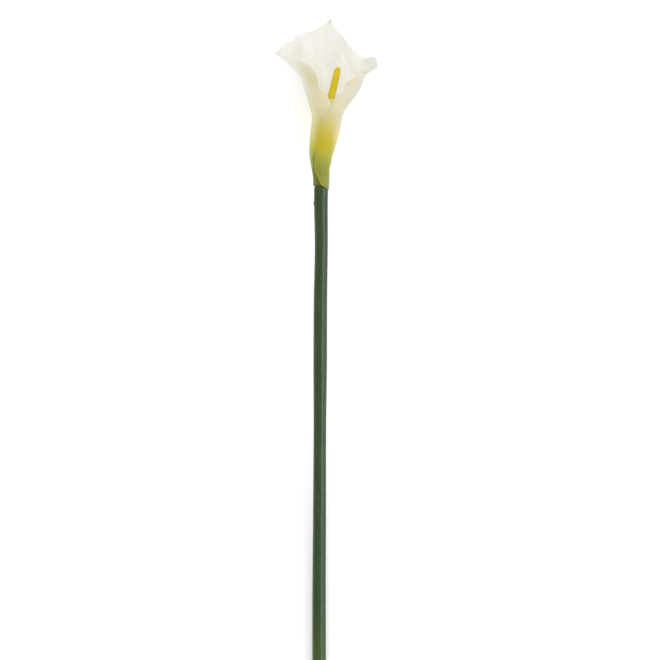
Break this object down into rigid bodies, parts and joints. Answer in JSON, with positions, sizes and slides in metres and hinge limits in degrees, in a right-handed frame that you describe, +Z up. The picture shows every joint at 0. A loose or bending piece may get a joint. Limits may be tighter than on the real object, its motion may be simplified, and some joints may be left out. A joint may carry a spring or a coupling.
{
  "type": "calla lily flower",
  "caption": "Cut calla lily flower lying on its back: a white funnel-shaped spathe wrapped round a yellow spadix, on a long bare green stem.",
  "frame": {"origin": "middle of the footprint, on the surface that the flower lies on", "axes": "+Z up from the surface, +Y along the stem towards the flower's tip, +X to the right seen from above with the tip away from the viewer"},
  "size_m": [0.088, 0.6032, 0.0542],
  "materials": {
    "stem_skin": "smooth waxy skin with a satin sheen, dark green",
    "petal": "soft matt white, yellow and then green towards the tube's foot",
    "pollen": "matt, finely granular, golden yellow"
  },
  "bodies": {
    "root": {"stem": "stem_skin", "spathe": "petal", "spadix": "pollen"}
  },
  "joints": []
}
